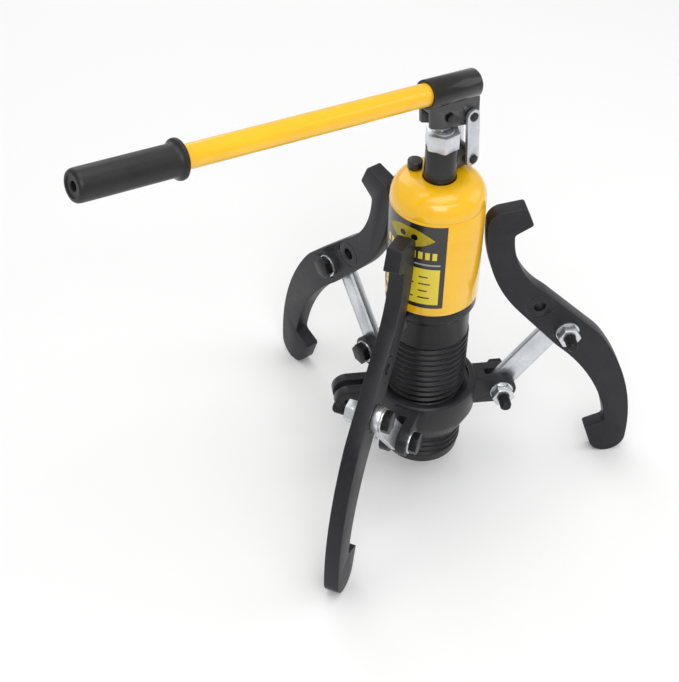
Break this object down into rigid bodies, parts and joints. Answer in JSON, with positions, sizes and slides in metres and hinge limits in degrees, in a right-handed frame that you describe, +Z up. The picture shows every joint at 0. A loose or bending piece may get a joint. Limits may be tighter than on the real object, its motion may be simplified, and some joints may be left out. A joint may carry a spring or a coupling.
{
  "type": "hydraulic gear puller",
  "caption": "Self-contained hydraulic puller: threaded cylinder with hand pump and side handle, screw-on jaw carrier, and reversible jaws on link plates.",
  "frame": {"origin": "centre of the ram's front face, at the root of its nose, with the ram fully retracted", "axes": "+Z up along the cylinder towards the pump, -X towards the pump handle, Y across"},
  "size_m": [0.4725, 0.2903, 0.4509],
  "materials": {
    "black_steel": "black oxide and semi-gloss black paint",
    "cast_black": "cast steel painted black",
    "forged_black": "drop-forged steel, satin black",
    "black_bolt": "black oxide fasteners",
    "yellow_paint": "gloss yellow enamel",
    "label_print": null,
    "zinc_steel": "bright zinc-plated steel",
    "polished_steel": "hard-chromed and polished",
    "spring_steel": "plain spring steel",
    "bronze": "turned bronze",
    "seal_rubber": "nitrile rubber",
    "grip_rubber": "moulded black grip, slightly glossy",
    "black_plastic": "moulded black plastic"
  },
  "bodies": {
    "cylinder": {"barrel": "black_steel", "gland_ring": "black_steel", "ram_bush": "bronze", "ram_wiper": "seal_rubber", "reservoir_shell": "yellow_paint", "filler_plug": "black_plastic", "reservoir_label": "label_print", "oil_bladder": "seal_rubber", "pump_body": "black_steel", "plunger_packing": "seal_rubber", "packing_nut": "zinc_steel", "return_spring": "spring_steel", "spring_anchor": "spring_steel", "side_plug": "black_steel", "suction_spring": "spring_steel", "discharge_spring": "spring_steel"},
    "suction_valve": {"suction_ball": "polished_steel"},
    "discharge_valve": {"discharge_ball": "polished_steel"},
    "ram": {"ram": "polished_steel", "piston_seal": "seal_rubber", "ram_nose": "polished_steel", "spring_foot": "spring_steel"},
    "release_valve": {"release_knob": "black_plastic", "release_stem": "black_steel"},
    "plunger": {"plunger": "polished_steel", "plunger_pin": "black_steel"},
    "handle": {"handle_socket": "black_steel", "handle_tube": "yellow_paint", "handle_grip": "grip_rubber", "fulcrum_pin": "black_steel"},
    "pump_links": {"pump_links": "zinc_steel", "anchor_pin": "black_steel"},
    "carrier": {"jaw_carrier": "cast_black", "carrier_bolts": "black_bolt", "carrier_nuts": "zinc_steel", "carrier_washers": "zinc_steel"},
    "link_1": {"link_plate_1": "zinc_steel"},
    "jaw_1": {"jaw_1": "forged_black", "jaw_bolt_1": "black_bolt", "jaw_nut_1": "zinc_steel", "jaw_washers_1": "zinc_steel"},
    "link_2": {"link_plate_2": "zinc_steel"},
    "jaw_2": {"jaw_2": "forged_black", "jaw_bolt_2": "black_bolt", "jaw_nut_2": "zinc_steel", "jaw_washers_2": "zinc_steel"},
    "link_3": {"link_plate_3": "zinc_steel"},
    "jaw_3": {"jaw_3": "forged_black", "jaw_bolt_3": "black_bolt", "jaw_nut_3": "zinc_steel", "jaw_washers_3": "zinc_steel"}
  },
  "joints": [
    {"name": "carrier_travel", "type": "slide", "parent": "cylinder", "child": "carrier", "axis": [0, 0, 1], "range_m": [-0.006, 0.03]},
    {"name": "ram_stroke", "type": "slide", "parent": "cylinder", "child": "ram", "axis": [0, 0, -1], "range_m": [0, 0.05], "stiffness_N_per_m": 400, "springref_m": -0.05, "deforming": ["return_spring"]},
    {"name": "plunger_stroke", "type": "slide", "parent": "cylinder", "child": "plunger", "axis": [0, 0, 1], "range_m": [-0.0043, 0.0072]},
    {"name": "handle_lift", "type": "hinge", "parent": "plunger", "child": "handle", "pos_m": [0, 0, 0.3446], "axis": [0, 1, 0], "range_deg": [-12, 20]},
    {"name": "pump_link_swing", "type": "hinge", "parent": "handle", "child": "pump_links", "pos_m": [0.0209, 0, 0.339], "axis": [0, 1, 0], "range_deg": [-24, 14.5]},
    {"name": "release_turn", "type": "hinge", "parent": "cylinder", "child": "release_valve", "pos_m": [-0.02898, -0.00777, 0.1704], "axis": [-0.9659, -0.2588, 0], "range_deg": [0, 270]},
    {"name": "suction_lift", "type": "slide", "parent": "cylinder", "child": "suction_valve", "axis": [0, 0, 1], "range_m": [0, 0.0008], "stiffness_N_per_m": 200, "springref_m": -0.001, "deforming": ["suction_spring"]},
    {"name": "discharge_lift", "type": "slide", "parent": "cylinder", "child": "discharge_valve", "axis": [0, 0, 1], "range_m": [0, 0.0008], "stiffness_N_per_m": 200, "springref_m": -0.001, "deforming": ["discharge_spring"]},
    {"name": "link_swing_1", "type": "hinge", "parent": "carrier", "child": "link_1", "pos_m": [0.05716, -0.033, 0.06], "axis": [0.5, 0.866, 0], "range_deg": [0, 45]},
    {"name": "jaw_swing_1", "type": "hinge", "parent": "link_1", "child": "jaw_1", "pos_m": [0.09992, -0.05769, 0.12796], "axis": [0.5, 0.866, 0], "range_deg": [0, 19]},
    {"name": "link_swing_2", "type": "hinge", "parent": "carrier", "child": "link_2", "pos_m": [0, 0.066, 0.06], "axis": [-1, 0, 0], "range_deg": [0, 45]},
    {"name": "jaw_swing_2", "type": "hinge", "parent": "link_2", "child": "jaw_2", "pos_m": [0, 0.11537, 0.12796], "axis": [-1, 0, 0], "range_deg": [0, 19]},
    {"name": "link_swing_3", "type": "hinge", "parent": "carrier", "child": "link_3", "pos_m": [-0.05716, -0.033, 0.06], "axis": [0.5, -0.866, 0], "range_deg": [0, 45]},
    {"name": "jaw_swing_3", "type": "hinge", "parent": "link_3", "child": "jaw_3", "pos_m": [-0.09992, -0.05769, 0.12796], "axis": [0.5, -0.866, 0], "range_deg": [0, 19]}
  ],
  "couplings": [
    {"joint": "plunger_stroke", "follows": "handle_lift", "m_per_rad": 0.0194},
    {"joint": "pump_link_swing", "follows": "handle_lift", "ratio": -1.15}
  ]
}
